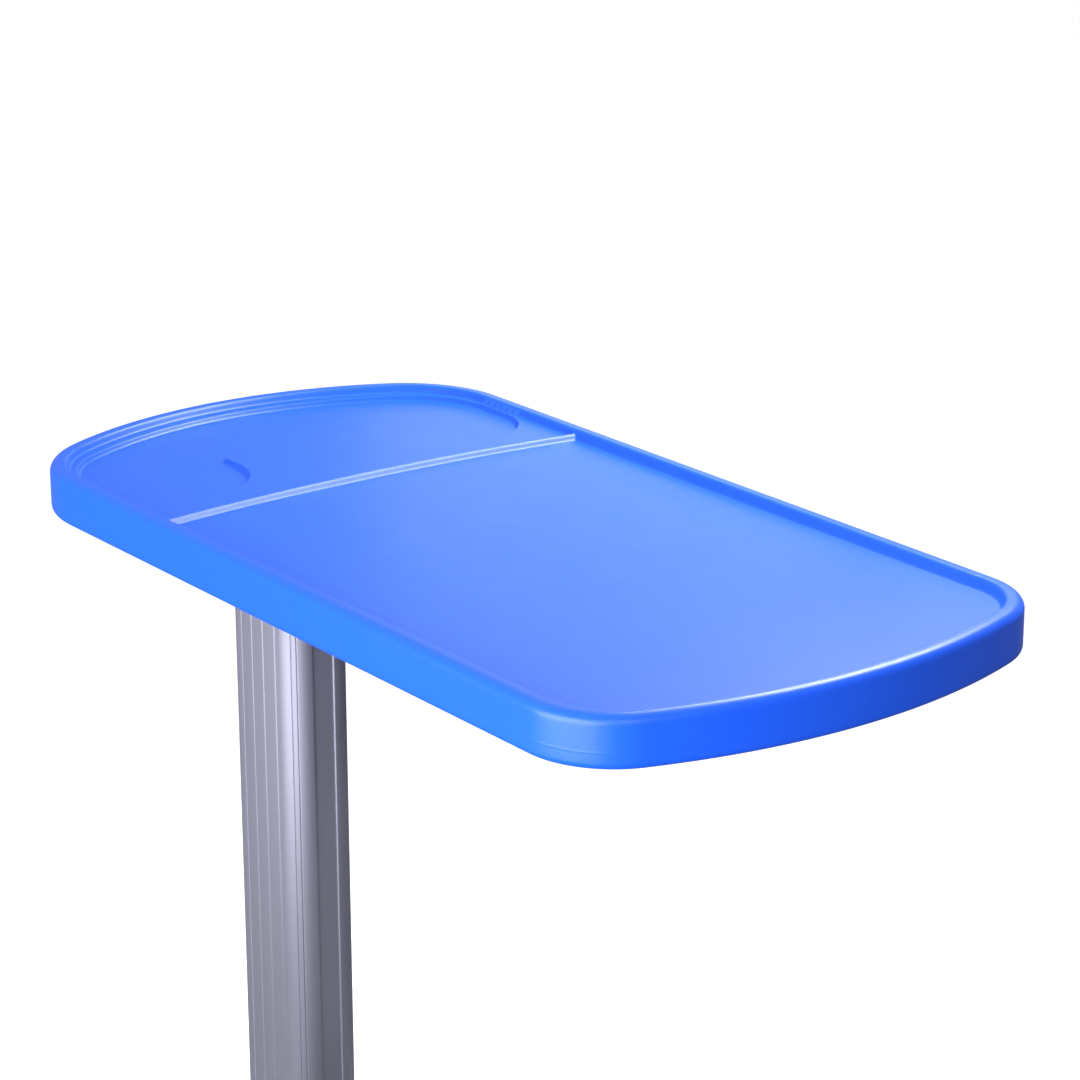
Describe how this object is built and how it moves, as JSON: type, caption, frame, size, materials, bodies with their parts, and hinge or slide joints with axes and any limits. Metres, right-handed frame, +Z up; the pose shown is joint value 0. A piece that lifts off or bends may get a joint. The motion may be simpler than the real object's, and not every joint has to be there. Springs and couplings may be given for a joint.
{
  "type": "overbed table",
  "caption": "Height-adjustable overbed table: long tray top with a raised rim, divider and shaped recess, overhanging from a telescopic column on a low castor base.",
  "frame": {"origin": "on the floor, under the middle of the table top", "axes": "+X along the top from the column towards the overhanging end, +Z up, the release lever on the +Y side"},
  "size_m": [0.8, 0.403, 0.76],
  "materials": {
    "blue_polyethylene": "satin, blow-moulded, through-coloured blue",
    "anodised_aluminium": "satin anodised extrusion with fine drawn grooves",
    "cast_aluminium": "die-cast, fine grain",
    "painted_steel": "light grey powder coat",
    "zinc_steel": "bright zinc plate",
    "chrome_steel": "hard chrome, polished",
    "black_enamel": "black stove enamel",
    "black_plastic": "moulded, fine texture",
    "grey_plastic": "moulded, fine texture",
    "white_acetal": "natural acetal",
    "grey_tread": "grey thermoplastic rubber"
  },
  "bodies": {
    "base": {"crossbeam": "painted_steel", "leg_near": "painted_steel", "leg_far": "painted_steel", "leg_cap_1": "grey_plastic", "leg_cap_2": "grey_plastic", "leg_cap_3": "grey_plastic", "leg_cap_4": "grey_plastic", "foot_plate": "painted_steel", "foot_bolt_1": "zinc_steel", "foot_bolt_2": "zinc_steel", "foot_bolt_3": "zinc_steel", "foot_bolt_4": "zinc_steel", "foot_cover": "grey_plastic", "lower_mast": "anodised_aluminium", "mast_glide": "white_acetal", "gas_cylinder": "black_enamel", "gas_gland": "white_acetal"},
    "top": {"tabletop": "blue_polyethylene", "frame_rail_near": "painted_steel", "frame_rail_far": "painted_steel", "frame_tie_column": "painted_steel", "frame_tie_free": "painted_steel", "top_screw_1": "zinc_steel", "top_screw_2": "zinc_steel", "top_screw_3": "zinc_steel", "top_screw_4": "zinc_steel", "column_head": "cast_aluminium", "lever_pin": "zinc_steel", "lever_spring": "zinc_steel", "upper_sleeve": "anodised_aluminium", "sleeve_glide": "black_plastic", "gas_piston": "zinc_steel", "gas_rod": "chrome_steel", "rod_bridge": "zinc_steel", "rod_nut": "zinc_steel"},
    "release": {"release_lever": "zinc_steel", "lever_grip": "black_plastic"},
    "valve": {"valve_pin": "zinc_steel"},
    "castor_1": {"castor_hood_1": "grey_plastic", "castor_stem_1": "zinc_steel", "castor_axle_1": "zinc_steel"},
    "wheels_1": {"castor_wheel_1a": "grey_tread", "castor_wheel_1b": "grey_tread"},
    "pedal_1": {"brake_pedal_1": "black_plastic"},
    "castor_2": {"castor_hood_2": "grey_plastic", "castor_stem_2": "zinc_steel", "castor_axle_2": "zinc_steel"},
    "wheels_2": {"castor_wheel_2a": "grey_tread", "castor_wheel_2b": "grey_tread"},
    "pedal_2": {"brake_pedal_2": "black_plastic"},
    "castor_3": {"castor_hood_3": "grey_plastic", "castor_stem_3": "zinc_steel", "castor_axle_3": "zinc_steel"},
    "wheels_3": {"castor_wheel_3a": "grey_tread", "castor_wheel_3b": "grey_tread"},
    "castor_4": {"castor_hood_4": "grey_plastic", "castor_stem_4": "zinc_steel", "castor_axle_4": "zinc_steel"},
    "wheels_4": {"castor_wheel_4a": "grey_tread", "castor_wheel_4b": "grey_tread"}
  },
  "joints": [
    {"name": "height_lift", "type": "slide", "parent": "base", "child": "top", "axis": [0, 0, 1], "range_m": [0, 0.3]},
    {"name": "lever_pull", "type": "hinge", "parent": "top", "child": "release", "pos_m": [-0.2855, 0.05, 0.684], "axis": [1, 0, 0], "range_deg": [0, 5], "stiffness_Nm_per_rad": 0.6, "springref_deg": -6.88},
    {"name": "valve_press", "type": "slide", "parent": "top", "child": "valve", "axis": [0, 0, -1], "range_m": [0, 0.0046]},
    {"name": "castor_swivel_1", "type": "hinge", "parent": "base", "child": "castor_1", "pos_m": [-0.33, -0.165, 0.055], "axis": [0, 0, 1], "continuous": true},
    {"name": "wheel_spin_1", "type": "hinge", "parent": "castor_1", "child": "wheels_1", "pos_m": [-0.347, -0.165, 0.025], "axis": [0, 1, 0], "continuous": true},
    {"name": "brake_press_1", "type": "hinge", "parent": "castor_1", "child": "pedal_1", "pos_m": [-0.355, -0.165, 0.0539], "axis": [0, -1, 0], "range_deg": [0, 16]},
    {"name": "castor_swivel_2", "type": "hinge", "parent": "base", "child": "castor_2", "pos_m": [-0.33, 0.165, 0.055], "axis": [0, 0, 1], "continuous": true},
    {"name": "wheel_spin_2", "type": "hinge", "parent": "castor_2", "child": "wheels_2", "pos_m": [-0.347, 0.165, 0.025], "axis": [0, 1, 0], "continuous": true},
    {"name": "brake_press_2", "type": "hinge", "parent": "castor_2", "child": "pedal_2", "pos_m": [-0.355, 0.165, 0.0539], "axis": [0, -1, 0], "range_deg": [0, 16]},
    {"name": "castor_swivel_3", "type": "hinge", "parent": "base", "child": "castor_3", "pos_m": [0.27, -0.165, 0.055], "axis": [0, 0, 1], "continuous": true},
    {"name": "wheel_spin_3", "type": "hinge", "parent": "castor_3", "child": "wheels_3", "pos_m": [0.253, -0.165, 0.025], "axis": [0, 1, 0], "continuous": true},
    {"name": "castor_swivel_4", "type": "hinge", "parent": "base", "child": "castor_4", "pos_m": [0.27, 0.165, 0.055], "axis": [0, 0, 1], "continuous": true},
    {"name": "wheel_spin_4", "type": "hinge", "parent": "castor_4", "child": "wheels_4", "pos_m": [0.253, 0.165, 0.025], "axis": [0, 1, 0], "continuous": true}
  ],
  "couplings": [
    {"joint": "valve_press", "follows": "lever_pull", "m_per_rad": 0.05}
  ]
}
